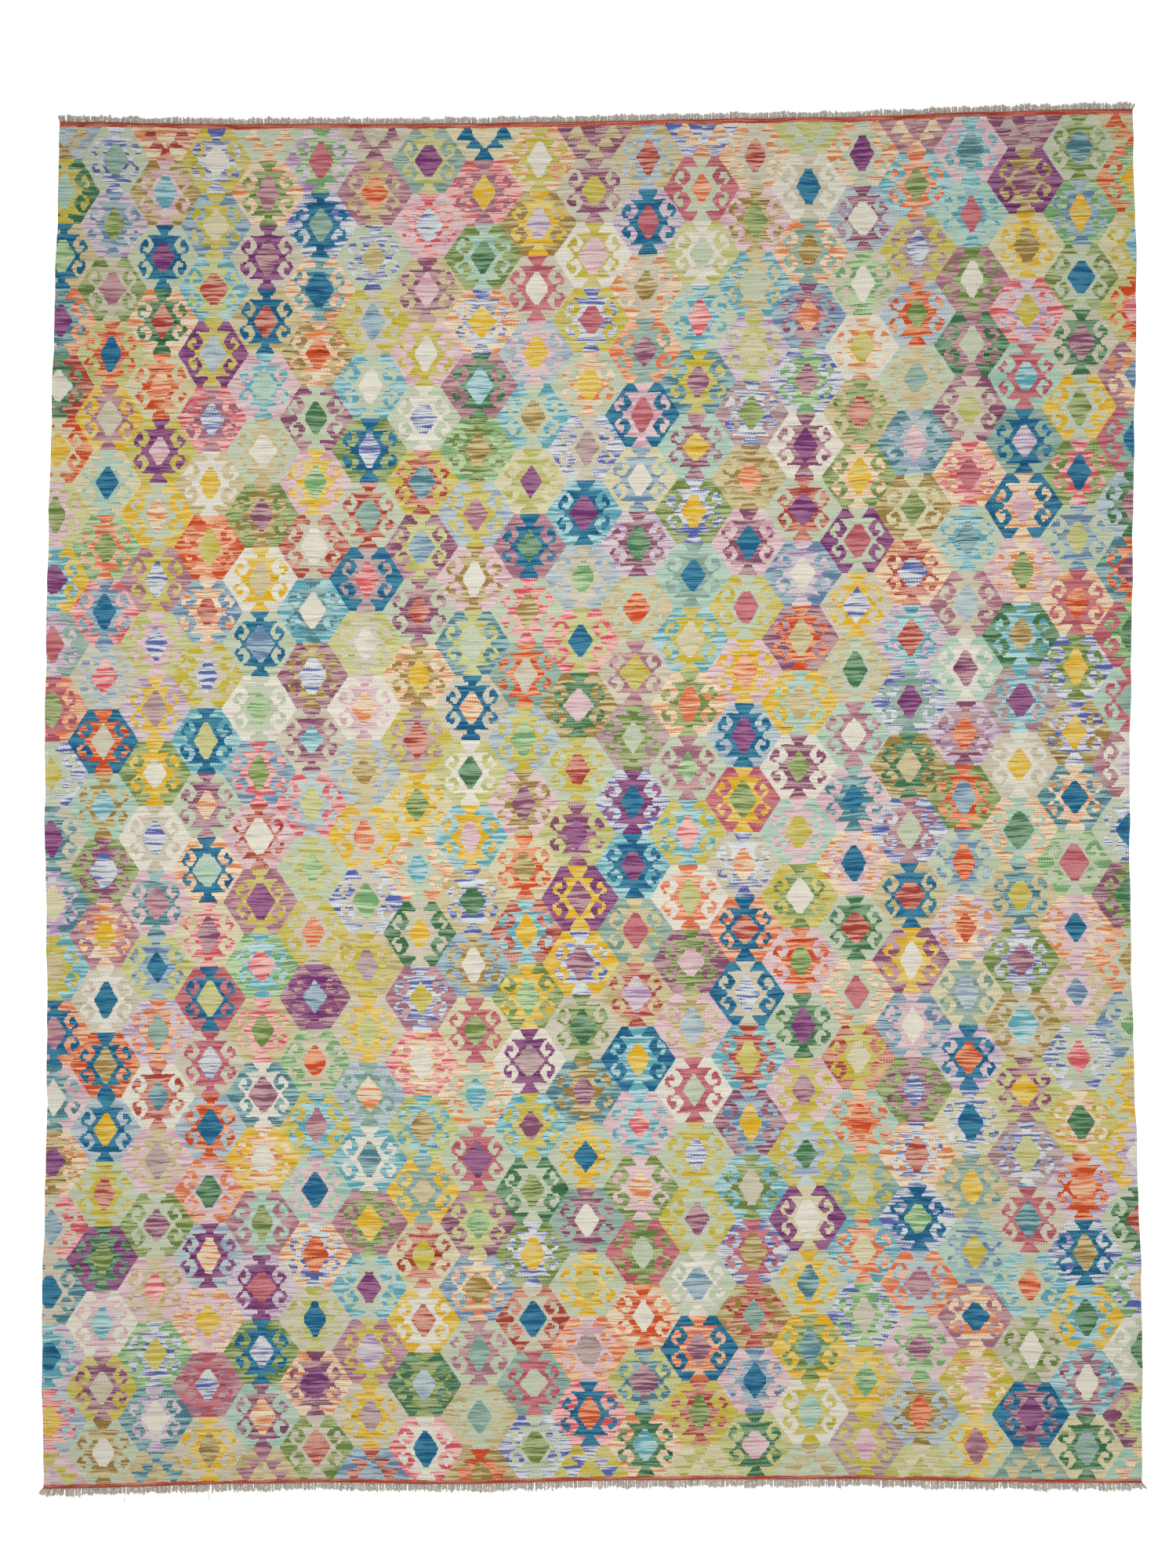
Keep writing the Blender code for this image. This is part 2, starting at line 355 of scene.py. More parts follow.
class Wool:
    """A matt woollen material, and the nodes that vary it."""

    def __init__(self, name, roughness=0.92):
        self.material = bpy.data.materials.new(name)
        self.material.use_nodes = True
        self.nodes, self.links = self.material.node_tree.nodes, self.material.node_tree.links
        self.shader = self.nodes["Principled BSDF"]
        self.shader.inputs["Roughness"].default_value = roughness
        self.shader.inputs["Specular IOR Level"].default_value = 0.15

    def node(self, kind, settings=(), inputs=(), output=0):
        """Adds a node: its settings, then the value or link of each input, in order or by name."""
        made = self.nodes.new("ShaderNode" + kind)
        for name, setting in dict(settings).items():
            if name == "stops":
                self.set_stops(made.color_ramp, setting)
            else:
                setattr(made, name, setting)
        named = inputs.items() if isinstance(inputs, dict) else enumerate(inputs)
        for name, value in named:
            if isinstance(value, Value):
                self.links.new(value.socket, made.inputs[name])
            else:
                made.inputs[name].default_value = value
        return Value(self, made.outputs[output])

    def set_stops(self, ramp, stops):
        ramp.interpolation = "CONSTANT"
        for i, (position, colour) in enumerate(stops):
            stop = ramp.elements[i] if i < 2 else ramp.elements.new(position)
            stop.position = position
            stop.color = colour

    def split(self, vector):
        """The three numbers of a vector or a colour."""
        made = self.node("SeparateXYZ", inputs=(vector,))
        return [Value(self, socket) for socket in made.socket.node.outputs]

    def join(self, x, y, z=0.0):
        return self.node("CombineXYZ", inputs=(x, y, z))

    def attribute(self, name, output="Vector"):
        return self.node("Attribute", {"attribute_name": name}, output=output)

    def blend(self, share, one, other):
        """Number one where the share is 0, the other where it is 1."""
        return self.node("Mix", {"data_type": "FLOAT"}, {0: share, 2: one, 3: other})

    def tint(self, share, one, other, how="MIX"):
        """The same for colours, or another way to lay one colour on the other."""
        return self.node("Mix", {"data_type": "RGBA", "blend_type": how}, {0: share, 6: one, 7: other}, 2)

    def streaks(self, place, scale=1.0, detail=2.0, roughness=0.5):
        """Soft chance patches between 0 and 1, stretched as the place is."""
        inputs = {"Vector": place, "Scale": scale, "Detail": detail, "Roughness": roughness}
        return self.node("TexNoise", inputs=inputs)

    def dice(self, place, output="Value"):
        """A chance number, or colour, for each place."""
        return self.node("TexWhiteNoise", {"noise_dimensions": "3D"}, {"Vector": place}, output)

    def finish(self, colour, height, depth):
        """Joins the colour and the relief, whose full height is a depth in metres, to the shader."""
        self.links.new(colour.socket, self.shader.inputs["Base Color"])
        inputs = {"Strength": 1.0, "Distance": depth, "Height": height}
        relief = self.node("Bump", inputs=inputs, output="Normal")
        self.links.new(relief.socket, self.shader.inputs["Normal"])
        return self.material


def linear(colour):
    """An sRGB colour out of 255 as linear light."""
    shares = [value / 255 for value in colour]
    return tuple(s / 12.92 if s <= 0.04045 else ((s + 0.055) / 1.055) ** 2.4 for s in shares)


# The chart of a quarter of the figure, from the hexagon's middle outwards, one line for each step of the
# weave. All are counted in warps from the middle: how far the body reaches, and where the horn lies.
WHOLE_FIGURE = {
    "body": (14.4, 15.3, 10.9, 9.9, 9.0, 8.4, 8.3, 8.8, 9.9, 11.4, 12.9, 3.1, 3.5, 4.6, 5.7, 6.8),
    "horn_from": (0, 0, 14.6, 16.0, 16.6, 12.6, 12.7, 12.7, 13.6, 0, 0, 0, 0, 0, 0, 0),
    "horn_to": (0, 0, 17.9, 19.1, 19.6, 19.4, 18.4, 17.4, 16.2, 0, 0, 0, 0, 0, 0, 0),
}
# The half hexagons at the two ends hold stacked triangles instead, which lean together into a V.
HALF_FIGURE = {
    "body": (0, 0, 0, 0, 0, 0, 0, 0, 0, 0, 2.6, 3.0, 3.8, 4.8, 5.8, 6.8),
    "horn_from": (10.2, 9.4, 8.7, 7.9, 7.1, 6.4, 4.9, 4.1, 3.2, 2.4, 1.5, 0, 0, 0, 0, 0),
    "horn_to": (14.6, 15.6, 16.5, 17.4, 18.3, 19.2, 9.0, 10.1, 11.2, 12.3, 13.3, 0, 0, 0, 0, 0),
}
CHART_STEPS = 16
CHART_REACH = 20  # warps that the chart's numbers are divided by, to store them as a ramp's colours

WARPS = 40  # to a column
STEPS = 32  # to a row, each as high as one stair of a slanting edge
WEFTS = 72  # to a row, counted as the lines that show
FLAT_TOP = 0.30  # half of a hexagon's flat edge, in columns
MARGIN = 0.25  # in warps or in rows, so that nothing hangs on a rounding
WEFT_WAVER = 0.062  # how far the lines of weft wander up and down, in rows
RAGGED = 0.9  # how far the edges between colours wander, in warps and in steps

# Each set of streaks has so many of them to a column and to a row, and a third number that sets it apart.
wool = Wool("kilim wool")
u, straight_v, _ = wool.split(wool.attribute("weave"))
waver = wool.streaks(wool.join(u * 2.6, straight_v * 3.4, 2.0), detail=3.0, roughness=0.62) - 0.5
v = straight_v + waver * WEFT_WAVER
grain = wool.streaks(wool.join(u * 7.0, v * 9.0), detail=1.0) - 0.5
warp = math.floor(u * WARPS + grain * RAGGED)
step = math.floor(v * STEPS + grain * RAGGED)
across_warp, up_step = (warp + 0.5) / WARPS, (step + 0.5) / STEPS

# Two sets of hexagons fill the cloth, half a row apart: the even columns, and the odd ones between them.
even_u, even_v = math.floor(across_warp / 2 + 0.5) * 2, math.floor(up_step + 0.5)
odd_u, odd_v = math.floor(across_warp / 2) * 2 + 1, math.floor(up_step) + 0.5
slant = 1 - 2 * abs(up_step - even_v)
even_reach = (FLAT_TOP + (1 - 2 * FLAT_TOP) * slant) * WARPS + MARGIN
in_even = abs(across_warp - even_u) * WARPS < even_reach
middle_u, middle_v = wool.blend(in_even, odd_u, even_u), wool.blend(in_even, odd_v, even_v)
side_u, side_v = across_warp - middle_u, up_step - middle_v
from_middle, above_middle = abs(side_u) * WARPS, abs(side_v) * STEPS

# No two hexagons come out alike, nor do the four horns of one. Each pair is the least of a thing, and what
# can come on top of it.
BODY_SQUASH, HORN_SQUASH, HORN_NARROWING = (0.97, 0.09), (0.99, 0.13), (0.95, 0.08)
HORN_SLIP = 1.2  # in warps, from one side to the other
DIAMOND_HEIGHT, DIAMOND_WIDTH = (7.2, 2.2), (8.8, 3.0)  # half of them, in steps and in warps
DIAMOND_TAPER = (0.77, 0.12)  # of the width, by its tip
LAST_LINE = CHART_STEPS - 0.1


def from_least(pair, share):
    """The least of a thing and a share of what can come on top of it."""
    return pair[0] + share * pair[1]


chance_1, chance_2, chance_3 = wool.split(wool.dice(wool.join(middle_u, middle_v), "Color"))
at_end = in_even * (abs(middle_v - ROWS / 2) > ROWS / 2 - MARGIN)
body_level = (above_middle * from_least(BODY_SQUASH, chance_1)).least(LAST_LINE)
quarter = wool.join(middle_u + (side_u > 0) * 0.3, middle_v + (side_v > 0) * 0.3, 4.0)
slip_u, slip_v, _ = wool.split(wool.dice(quarter, "Color"))
horn_level = (above_middle * from_least(HORN_SQUASH, slip_v)).least(LAST_LINE)
horn_reach = from_middle * from_least(HORN_NARROWING, chance_2) + (slip_u - 0.5) * HORN_SLIP


def chart_stops():
    """Both figures' lines as the colours of one ramp."""
    lines = []
    for figure in (WHOLE_FIGURE, HALF_FIGURE):
        lines += zip(figure["body"], figure["horn_from"], figure["horn_to"])
    colours = [(*(warps / CHART_REACH for warps in line), 1.0) for line in lines]
    return [(i / len(colours), colour) for i, colour in enumerate(colours)]


def read_chart(level):
    """The body's reach and the horn's two edges, in warps, at this many steps from the middle."""
    place = (level + at_end * CHART_STEPS) / (2 * CHART_STEPS)
    columns = wool.split(wool.node("ValToRGB", {"stops": chart_stops()}, (place,)))
    return [column * CHART_REACH for column in columns]


body_reach, _, _ = read_chart(body_level)
_, horn_from, horn_to = read_chart(horn_level)
in_body = from_middle < body_reach
in_horn = (horn_reach > horn_from) * (horn_reach < horn_to)
in_motif = in_body.most(in_horn)
diamond_height = from_least(DIAMOND_HEIGHT, chance_3)
diamond_width = from_least(DIAMOND_WIDTH, chance_2 * chance_2)
diamond_reach = diamond_width * (1 - above_middle / diamond_height * from_least(DIAMOND_TAPER, chance_1))
in_diamond = (from_middle < diamond_reach) * (above_middle < diamond_height) * (1 - at_end)

even_field, even_motif, even_diamond = wool.split(wool.attribute("even_yarns"))
odd_field, odd_motif, odd_diamond = wool.split(wool.attribute("odd_yarns"))
field = wool.blend(in_even, odd_field, even_field)
motif = wool.blend(in_even, odd_motif, even_motif)
diamond = wool.blend(in_even, odd_diamond, even_diamond)
yarn = wool.blend(in_diamond, wool.blend(in_motif, field, motif), diamond)
in_field = 1 - in_motif.most(in_diamond)

# Every patch of one colour gets a number of its own, so that its streaks are unlike those beside it.
zone = in_diamond * 2.0 + in_motif * (1 - in_diamond) + in_field * (side_u > 0) * 0.37
seed = middle_u * 1.37 + middle_v * 2.91 + zone * 7.7

# A pass of the weft shows over every other warp, and the next pass over those between. So a strong fleck
# that lasts for one pass shows as dots, and a longer one as a line.
odd_warp = warp % 2.0
weft_pass = math.floor(v * WEFTS + odd_warp * 0.5) * 2 - odd_warp
weft_v = weft_pass / (2 * WEFTS)
drift = wool.streaks(wool.join(u * 0.7, weft_v * 5.0, seed * 5.0 + 40.0), detail=1.0) - 0.5
strokes = wool.streaks(wool.join(u * 1.3, weft_v * 21.0, seed * 3.0), detail=2.0) + drift * 0.35
fine_lines = wool.streaks(wool.join(u * 1.7, weft_v * 26.0 + v * 26.0, seed * 3.0 + 17.0), detail=1.0)
thread = wool.dice(wool.join(weft_pass, seed, 2.0))
fleece = wool.streaks(wool.join(u * 60.0, v * 64.0), detail=2.0, roughness=0.7)
hairs = wool.streaks(wool.join(u * 55.0 + v * 110.0, v * 420.0 - u * 90.0, thread * 30.0), detail=1.0)


def yarn_stops(tone):
    """The yarns' grounds (tone 0) or flecks (1) as a ramp's colours, with how flecked each is as alpha."""
    return [(i / len(YARNS), (*linear(yarn[tone]), yarn[2])) for i, yarn in enumerate(YARNS.values())]


# Where in the streaks the strokes and the lines begin and are full. The more flecked a yarn, the sooner. The
# dark lines are painted shadow, standing for the deep shade between the wefts.
STROKE_START, SOONER, STROKE_SOFTNESS = 0.68, 0.46, 0.12
FINE_LINES, PALE_LINES, DARK_LINES = (0.55, 0.63), (0.30, 0.40), (0.64, 0.72)
FINE_STRENGTH, PALE_STRENGTH, DARK_STRENGTH = (0.30, 1.5), (0.02, 0.28), (0.10, 0.86)  # more if flecked

ground = wool.node("ValToRGB", {"stops": yarn_stops(0)}, (yarn,))
flecked = Value(wool, ground.socket.node.outputs["Alpha"])
flecks = wool.node("ValToRGB", {"stops": yarn_stops(1)}, (yarn,))
stroke_edge = STROKE_START - flecked * SOONER
share = strokes.between(stroke_edge, stroke_edge + STROKE_SOFTNESS)
share = share.most(fine_lines.between(*FINE_LINES) * from_least(FINE_STRENGTH, flecked))
dyed = wool.tint(share.least(1.0), ground, flecks)
pale_line = (1 - fine_lines.between(*PALE_LINES)) * from_least(PALE_STRENGTH, flecked)
# Painted shadow: these dark lines darken the wool where the shade between wefts would fall
painted_shadow_line = fine_lines.between(*DARK_LINES) * from_least(DARK_STRENGTH, flecked)

# The red band at each end is woven in one with the rest, and its edge wanders a little.
BAND_GROUND, BAND_FLECKS = linear((213, 128, 103)), linear((171, 62, 47))
BAND_WAVER, BAND_OVERLAP = 0.05, 0.006  # in rows
BAND_STROKES = (0.42, 0.58)  # where in the streaks its flecks begin, and are full
band_edge = (wool.streaks(wool.join(u * 0.45, 7.0, 3.0), detail=2.0) - 0.5) * BAND_WAVER
in_band = abs(weft_v + grain * 0.01 + band_edge - ROWS / 2) > ROWS / 2 - BAND_OVERLAP
band_strokes = wool.streaks(wool.join(u * 0.9, v * 74.0, 9.0), detail=2.0)
band_drift = wool.streaks(wool.join(u * 1.1, 3.0, 1.0), detail=2.0) - 0.5
band_stitch = wool.dice(wool.join(warp, weft_pass, 5.0))
band_share = (band_strokes + band_drift * 0.6 + (band_stitch - 0.5) * 0.07).between(*BAND_STROKES)
band = wool.tint(band_share, (*BAND_GROUND, 1), (*BAND_FLECKS, 1))
dyed = wool.tint(in_band, dyed, band)

# The wefts pass over and under the warps, which show through as upright ribs. The two outermost ribs at
# each selvedge are bundles of two warps. The tables say how much each thing darkens the wool's colour and
# lifts it. The rib and bead terms are painted shade, darker in the hollows between the ribs and where the
# weft dips under a warp, while thread, fleece and hairs are tone that differs at random.
PAINTED_SHADE_AND_TONE = {"rib": 0.16, "bead": 0.12, "thread": 0.30, "fleece": 0.42, "hairs": 0.33}
LIFTS = {"rib": 0.6, "bead": 0.3, "fleece": 0.4, "hairs": 0.2}
RELIEF_DEPTH = 0.0005
from_selvedge = (u - FIRST_COLUMN).least(LAST_COLUMN - u) * WARPS
rib_place = (u * WARPS * wool.blend(from_selvedge < 4.0, 1.0, 0.5)) % 1.0
rib = 1 - (rib_place * 2 - 1) * (rib_place * 2 - 1)
crossing = (v * WEFTS + odd_warp * 0.5) % 1.0
bead = 1 - abs(crossing * 2 - 1)
# The colour's tone: painted shade from the ribs and the crossings, random tone from thread, fleece and hairs
tone = 1.0 + (rib - 0.67) * PAINTED_SHADE_AND_TONE["rib"] + (bead - 0.5) * PAINTED_SHADE_AND_TONE["bead"] + (thread - 0.5) * PAINTED_SHADE_AND_TONE["thread"]
tone = tone + (fleece - 0.5) * PAINTED_SHADE_AND_TONE["fleece"] + (hairs - 0.5) * PAINTED_SHADE_AND_TONE["hairs"]
# The dark lines darken the colour as painted shadow, standing for the deep shade between the wefts
tone = tone + pale_line - painted_shadow_line
colour = wool.tint(1.0, dyed, wool.join(tone, tone, tone), "MULTIPLY")
relief = rib * LIFTS["rib"] + bead * LIFTS["bead"]
relief = relief + (fleece - 0.5) * LIFTS["fleece"] + (hairs - 0.5) * LIFTS["hairs"]
mesh.materials.clear()
mesh.materials.append(wool.finish(colour, relief, RELIEF_DEPTH))

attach(cloth, "root")
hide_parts("kilim_cloth")

# --- The twined rows ------------------------------------------------------------------------------
# Along each end two red yarns are twined round each other and round every warp, so that the last wefts
# can't slide off. They cross between one warp and the next, and lie as a thin rope close against the cloth.

WARP_COUNT = round(COLUMN_SPAN * WARPS)
ROW_GAP = 0.0002  # between the cloth and the twined row
TWINED_YARN = 0.0011  # the radius of one yarn
YARN_SWING = 0.0008  # how far it swings to each side of the row's middle
POINTS_A_WARP = 4
ROW_MIDDLE = ROW_GAP + TWINED_YARN + YARN_SWING  # beyond the cloth's end
ROW_HEIGHT = TWINED_YARN + YARN_SWING  # of the row's middle above the floor
WELD = 0.00001  # points this close are made one
RED_RUN = (0.36, 0.64)  # where in the streaks along a yarn its light red ends, and its dark red is full
RED_TONE = (0.82, 0.36)  # the least that its fibres shade it, and what comes on top
FIBRE_DEPTH = 0.0003  # of the relief on the yarns and on the warp ends
ENDS = {"near": (near_line, -1), "far": (far_line, 1)}  # each end's line, and which way it faces


def beyond_end(end, share, out):
    """The X and Y of a point at this share of the cloth's width and this far beyond its end."""
    line, outwards = ENDS[end]
    xs = line[0]
    return xs[0] + (xs[-1] - xs[0]) * share, end_line(line, share) + outwards * out


def red_wool(name, light, dark):
    """The twined yarns' wool, which runs from a light red to a dark one along its length."""
    red = Wool(name)
    place = red.node("TexCoord", output="Object")
    long_place = red.node("Mapping", inputs={"Vector": place, "Scale": (1.0, 0.0, 0.0)})
    run = red.streaks(long_place, scale=5.5, detail=3.0).between(*RED_RUN)
    fibres = red.streaks(place, scale=900.0, detail=2.0, roughness=0.7)
    tone = from_least(RED_TONE, fibres)
    dyed = red.tint(run, (*linear(light), 1), (*linear(dark), 1))
    return red.finish(red.tint(1.0, dyed, red.join(tone, tone, tone), "MULTIPLY"), fibres, FIBRE_DEPTH)


twining_wool = [
    red_wool("light twining wool", (226, 144, 122), (188, 80, 66)),
    red_wool("dark twining wool", (204, 104, 86), (156, 50, 44)),
]
for end in ENDS:
    bpy.ops.object.select_all(action="DESELECT")
    strands = []
    for k, yarn_wool in enumerate(twining_wool):
        bpy.ops.curve.primitive_nurbs_path_add()
        strand = bpy.context.object
        strand.data.splines.clear()
        turns = np.arange(WARP_COUNT * POINTS_A_WARP + 1) / POINTS_A_WARP
        xs, ys = beyond_end(end, turns / WARP_COUNT, ROW_MIDDLE + YARN_SWING * np.cos(np.pi * (turns + k)))
        zs = ROW_HEIGHT + YARN_SWING * np.sin(np.pi * (turns + k))
        route = strand.data.splines.new("POLY")
        route.points.add(len(xs) - 1)
        route.points.foreach_set("co", np.column_stack([xs, ys, zs, np.ones(len(xs))]).ravel())
        strand.data.bevel_depth = TWINED_YARN
        strand.data.bevel_resolution = 1
        strand.data.use_fill_caps = True
        strand.data.materials.append(yarn_wool)
        bpy.ops.object.convert(target="MESH")
        strands.append(strand)
    for strand in strands:
        strand.select_set(True)
    bpy.ops.object.join()
    row_piece = bpy.context.object
    row_piece.name = row_piece.data.name = "twined_row_" + end
    bpy.ops.object.mode_set(mode="EDIT")
    bpy.ops.mesh.select_all(action="SELECT")
    bpy.ops.mesh.remove_doubles(threshold=WELD)
    bpy.ops.mesh.normals_make_consistent(inside=False)
    bpy.ops.object.mode_set(mode="OBJECT")
    bpy.ops.object.shade_smooth_by_angle(angle=math.radians(65))
    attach(row_piece, "root")
    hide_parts("fringe_" + end)

# --- The warp ends --------------------------------------------------------------------------------
# The undyed grey warps come out through the twined rows and were cut short. Each is two plies twisted
# together, which open into fibres at the cut. They lean together in locks, and splay out at the corners.

PLY_RADIUS = 0.00118
PLY_OFFSET = 0.00090  # from the middle of the warp to the middle of each ply
PLY_TURN = math.radians(50)  # in one step of its length
WARP_END = 0.0165  # how long a cut end is
PLY_SWELLS = (1.0, 1.05, 1.08, 1.09, 1.10, 1.07, 0.84)  # each step's thickness against the one before
# The fibres stand out of the yarn in rings: how far along it, how many, the ring's radius, and their tilt.
FIBRE_RINGS = {
    "along": (1.0, 1.0, 0.84, 0.64),
    "count": (6, 4, 5, 4),
    "radius": (0.0022, 0.0010, 0.0025, 0.0022),
    "tilt": (14, 5, 22, 24),
}
FIBRE_RADIUS, FIBRE_LENGTH = 0.00045, 0.0052
FIBRE_SUNK = 0.25  # the share of a fibre that is in the yarn

bpy.ops.object.select_all(action="DESELECT")
ply_place = (PLY_OFFSET, 0, 0)
bpy.ops.mesh.primitive_circle_add(vertices=4, radius=PLY_RADIUS, fill_type="NGON", location=ply_place)
pattern = bpy.context.object
bpy.ops.object.transform_apply(location=True)
bpy.ops.object.mode_set(mode="EDIT")
bpy.ops.mesh.select_all(action="SELECT")
for swell in PLY_SWELLS:
    bpy.ops.mesh.extrude_region_move(TRANSFORM_OT_translate={"value": (0, 0, WARP_END / len(PLY_SWELLS))})
    bpy.ops.transform.rotate(value=PLY_TURN, orient_axis="Z", center_override=(0, 0, 0))
    bpy.ops.transform.resize(value=(swell, swell, 1), center_override=(0, 0, 0))
bpy.ops.mesh.select_all(action="SELECT")
bpy.ops.mesh.duplicate()
bpy.ops.transform.rotate(value=math.pi, orient_axis="Z", center_override=(0, 0, 0))
for ring_along, count, ring, tilt in zip(*FIBRE_RINGS.values()):
    middle = WARP_END * ring_along + FIBRE_LENGTH * (0.5 - FIBRE_SUNK)
    for i in range(count):
        heading = 2 * math.pi * i / count
        place = (ring * math.sin(heading), -ring * math.cos(heading), middle)
        bpy.ops.mesh.primitive_cone_add(
            vertices=3,
            radius1=FIBRE_RADIUS,
            radius2=0,
            depth=FIBRE_LENGTH,
            location=place,
            rotation=(math.radians(tilt), 0, heading),
        )
bpy.ops.mesh.select_all(action="SELECT")
bpy.ops.mesh.normals_make_consistent(inside=False)
bpy.ops.object.mode_set(mode="OBJECT")
pattern_points = np.array([v.co for v in pattern.data.vertices])
pattern_faces = [list(face.vertices) for face in pattern.data.polygons]
bpy.data.objects.remove(pattern)

# How the warp ends lie, for each end of the cloth. Leans are in degrees from straight out, to the right.
CORNER_SPLAY = {"near": (-46, 42), "far": (-14, 20)}  # at the left and at the right corner
SPLAY_FADE = 0.024  # how far in from a corner the warp ends still splay
LOCK_WARPS = (3, 10)  # the fewest and the most warps that lean together
LOCK_LEAN, WARP_LEAN, WARP_CURL = 3.6, 3, 8  # the spread of leans of locks and of warps, and of curls
LOCK_PINCH = 0.3  # how much more each warp of a lock leans in for each place from its middle
END_LENGTH, LENGTH_SPREAD = {"near": 0.97, "far": 0.81}, 0.10  # against WARP_END, and the spread round it
UNEVEN_CUT, UNEVEN_LENGTH = 0.22, 0.038  # how much the cut wavers, as a share, and over what width
INSIDE_CLOTH = 0.0012  # how deep a warp end starts in the cloth's edge
LEAST_CURL = 0.0001  # in radians, so that none is quite 0 to divide by
DOWN_BY = 0.6  # how far along a warp end has come down from the cloth to the floor
CROSSING = 0.0011  # the most that one lies above the floor where it crosses others
REST_HEIGHT = 1.15 * (PLY_RADIUS + PLY_OFFSET)  # the middle of a warp end that lies loose on the floor
LEAST_HEIGHT = 0.0002  # what would lie lower is flattened on the floor
STRAY_THREADS = {"near": (-1.289, -1.053), "far": ()}  # where single threads were left longer
STRAY_LENGTH, STRAY_THICKNESS = 2.0, 0.3  # against those of the others

WARP_ROOT, WARP_TIP = linear((179, 168, 154)), linear((211, 203, 193))
TWINED_RED_AND_SHADE = linear((150, 74, 60))  # the red of the twined yarn that covers the roots, kept dark as painted shade in the gaps between its yarns
PALING, ROOT_RED_FADE = (0.15, 0.8), (0.13, 0.21)  # how far along they grow paler, the darker roots being painted shade next to the cloth, and where the red fades
WARP_TONE, FIBRE_TONE = (0.78, 0.34), (0.80, 0.40)  # the least shade of each, and what comes on top

warp_wool = Wool("warp wool")
warp_tone, out_along, _ = warp_wool.split(warp_wool.attribute("strand"))
warp_place = warp_wool.node("TexCoord", output="Object")
fibres = warp_wool.streaks(warp_place, scale=1100.0, detail=2.0, roughness=0.7)
# Painted shade: the warp ends are darker at the roots, and dark red where the twined row covers them and
# leaves gaps
undyed = warp_wool.tint(out_along.between(*PALING), (*WARP_ROOT, 1), (*WARP_TIP, 1))
undyed = warp_wool.tint(out_along.between(*ROOT_RED_FADE), (*TWINED_RED_AND_SHADE, 1), undyed)
shade = from_least(WARP_TONE, warp_tone) * from_least(FIBRE_TONE, fibres)
warp_colour = warp_wool.tint(1.0, undyed, warp_wool.join(shade, shade, shade), "MULTIPLY")
warp_material = warp_wool.finish(warp_colour, fibres, FIBRE_DEPTH)

for end, (line, outwards) in ENDS.items():
    dice = random.Random(78 + outwards)
    leans = []
    while len(leans) < WARP_COUNT:
        size = dice.randint(*LOCK_WARPS)
        lock_lean = dice.gauss(0, LOCK_LEAN)
        for k in range(size):
            leans.append(lock_lean + dice.gauss(0, WARP_LEAN) - LOCK_PINCH * (k - (size - 1) / 2))
    share = (np.arange(WARP_COUNT) + 0.5) / WARP_COUNT
    width = line[0][-1] - line[0][0]
    splay_left, splay_right = CORNER_SPLAY[end]
    lean = np.array(leans[:WARP_COUNT])
    lean += splay_left * np.exp(-share * width / SPLAY_FADE)
    lean += splay_right * np.exp(-(1 - share) * width / SPLAY_FADE)
    curl = np.radians([dice.gauss(0, WARP_CURL) for _ in share]) + LEAST_CURL
    length = END_LENGTH[end] * np.array([1 + dice.gauss(0, LENGTH_SPREAD) for _ in share])
    length += UNEVEN_CUT * smooth_noise(share * width, np.zeros(WARP_COUNT), UNEVEN_LENGTH, outwards * 2.7)
    turn = np.array([dice.uniform(0, 2 * math.pi) for _ in share])
    tone = np.array([dice.random() for _ in share])
    over = np.array([dice.uniform(0, CROSSING) for _ in share])
    thickness = np.ones(len(share))
    for stray_x in STRAY_THREADS[end]:
        stray = np.argmin(abs(line[0][0] + share * width - stray_x))
        length[stray], thickness[stray] = STRAY_LENGTH, STRAY_THICKNESS

    # Each warp end is the pattern turned, made longer or shorter, and laid along its own curved line.
    root_x, root_y = beyond_end(end, share, -INSIDE_CLOTH)
    px, py, pz = pattern_points.T
    side = (px * np.cos(turn)[:, None] - py * np.sin(turn)[:, None]) * thickness[:, None]
    rise = (px * np.sin(turn)[:, None] + py * np.cos(turn)[:, None]) * thickness[:, None]
    reach = (WARP_END + INSIDE_CLOTH + 2 * ROW_MIDDLE) * length[:, None]
    along = pz / WARP_END
    start = np.radians(lean)[:, None] - curl[:, None] / 2
    heading = start + curl[:, None] * along
    aside = reach * (np.cos(start) - np.cos(heading)) / curl[:, None] + side * np.cos(heading)
    out = reach * (np.sin(heading) - np.sin(start)) / curl[:, None] - side * np.sin(heading)
    down = np.clip(along / DOWN_BY, 0, 1)
    fall = down**2 * (3 - 2 * down)
    middle = CLOTH_THICKNESS / 2 * (1 - fall) + (REST_HEIGHT + over[:, None]) * fall
    height = np.maximum(middle + rise, LEAST_HEIGHT)
    points = np.stack([root_x[:, None] + aside, root_y[:, None] + outwards * out, height], axis=-1)
    faces = []
    for i in range(WARP_COUNT):
        faces += [[point + i * len(px) for point in face] for face in pattern_faces]
    shape = bpy.data.meshes.new("warp_ends_" + end)
    shape.from_pydata(points.reshape(-1, 3), [], faces)
    facts = np.stack([tone[:, None] + 0 * px, np.clip(along, 0, 1) + 0 * tone[:, None], 0 * aside], axis=-1)
    shape.attributes.new("strand", "FLOAT_VECTOR", "POINT").data.foreach_set("vector", facts.ravel())
    shape.materials.append(warp_material)
    warp_ends = bpy.data.objects.new("warp_ends_" + end, shape)
    bpy.context.scene.collection.objects.link(warp_ends)
    bpy.ops.object.select_all(action="DESELECT")
    warp_ends.select_set(True)
    bpy.context.view_layer.objects.active = warp_ends
    bpy.ops.object.mode_set(mode="EDIT")
    bpy.ops.mesh.select_all(action="SELECT")
    bpy.ops.mesh.normals_make_consistent(inside=False)
    bpy.ops.object.mode_set(mode="OBJECT")
    bpy.ops.object.shade_smooth_by_angle(angle=math.radians(80))
    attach(warp_ends, "root")
    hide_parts("fringe_" + end)

# --- The floor, the light and the camera ----------------------------------------------------------
# A plain pale floor, lit a little from within as a light table is, under an even white sky and one soft
# lamp that favours the middle of the rug. The camera is straight above.

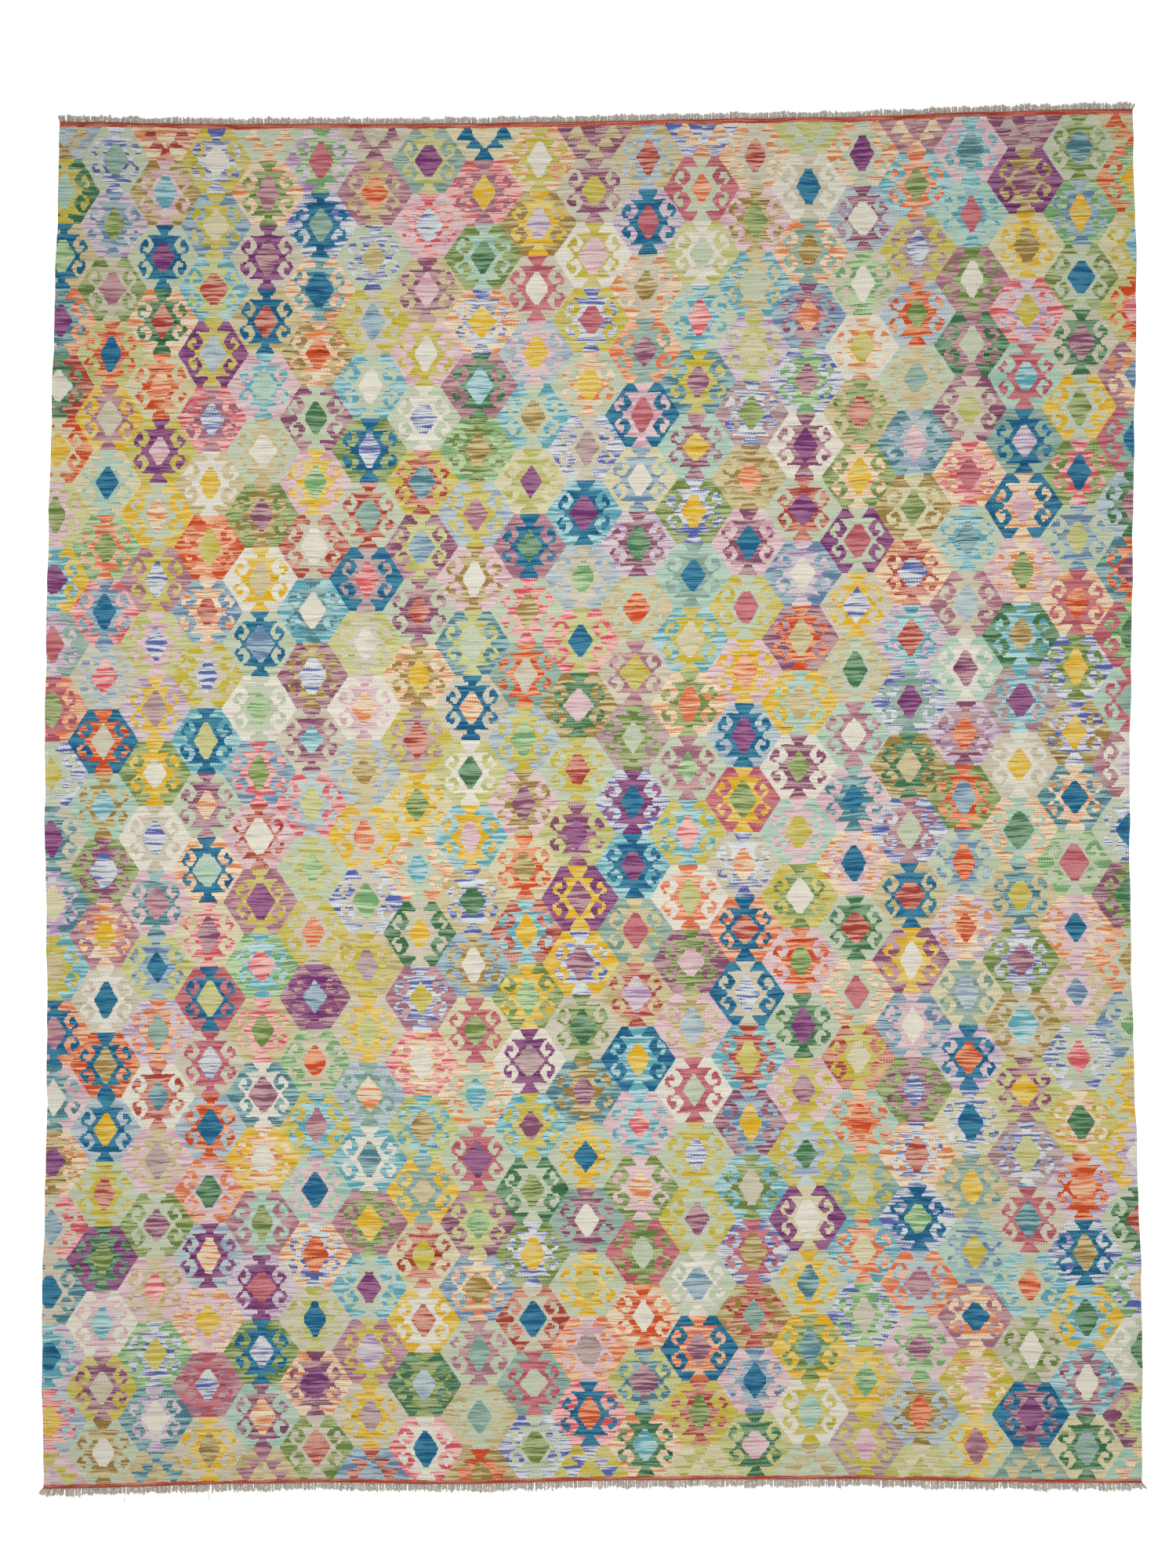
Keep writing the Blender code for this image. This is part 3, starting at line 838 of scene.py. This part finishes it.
FLOOR_SIZE = 240  # so that it runs on past the edge of any picture
FLOOR_PAINT = {
    "Base Color": (0.50, 0.50, 0.50, 1),
    "Roughness": 0.9,
    "Specular IOR Level": 0.1,
    "Emission Color": (1, 1, 1, 1),
    "Emission Strength": 0.78,
}
bpy.ops.object.select_all(action="DESELECT")
bpy.ops.mesh.primitive_plane_add(size=FLOOR_SIZE, location=(0, 0, 0))
floor = bpy.context.object
floor.name = "floor"
pale = bpy.data.materials.new("pale floor")
pale.use_nodes = True
for setting, value in FLOOR_PAINT.items():
    pale.node_tree.nodes["Principled BSDF"].inputs[setting].default_value = value
floor.data.materials.append(pale)

SKY = 0.41  # the strength of the even white sky
LAMP_POWER = 3150
LAMP_PLACE = Vector((-2.6, 3.4, 10.0))
LAMP_RADIUS = 1.4
LAMP_AIM = Vector((0.35, -0.50, 0.0))
LAMP_CONE = math.radians(42)
sky = bpy.data.worlds.new("studio")
sky.use_nodes = True
sky.node_tree.nodes["Background"].inputs["Color"].default_value = (1, 1, 1, 1)
sky.node_tree.nodes["Background"].inputs["Strength"].default_value = SKY
bpy.context.scene.world = sky
lamp = bpy.data.objects.new("lamp", bpy.data.lights.new("lamp", "SPOT"))
lamp.data.energy = LAMP_POWER
lamp.data.shadow_soft_size = LAMP_RADIUS
lamp.data.spot_size = LAMP_CONE
lamp.data.spot_blend = 1.0
lamp.location = LAMP_PLACE
lamp.rotation_euler = (LAMP_AIM - LAMP_PLACE).to_track_quat("-Z", "Y").to_euler()
bpy.context.scene.collection.objects.link(lamp)

VIEW_HEIGHT = 4.332  # metres of floor from the picture's foot to its head
PICTURE_MIDDLE = (-0.011, 0.041)
LENS = 85
SENSOR = 36
camera = bpy.data.objects.new("camera", bpy.data.cameras.new("camera"))
camera.data.lens = LENS
camera.data.sensor_width = SENSOR
camera.data.clip_end = 100
camera.location = (*PICTURE_MIDDLE, VIEW_HEIGHT * LENS / SENSOR)
bpy.context.scene.collection.objects.link(camera)
bpy.context.scene.camera = camera
bpy.context.scene.view_settings.view_transform = "Standard"
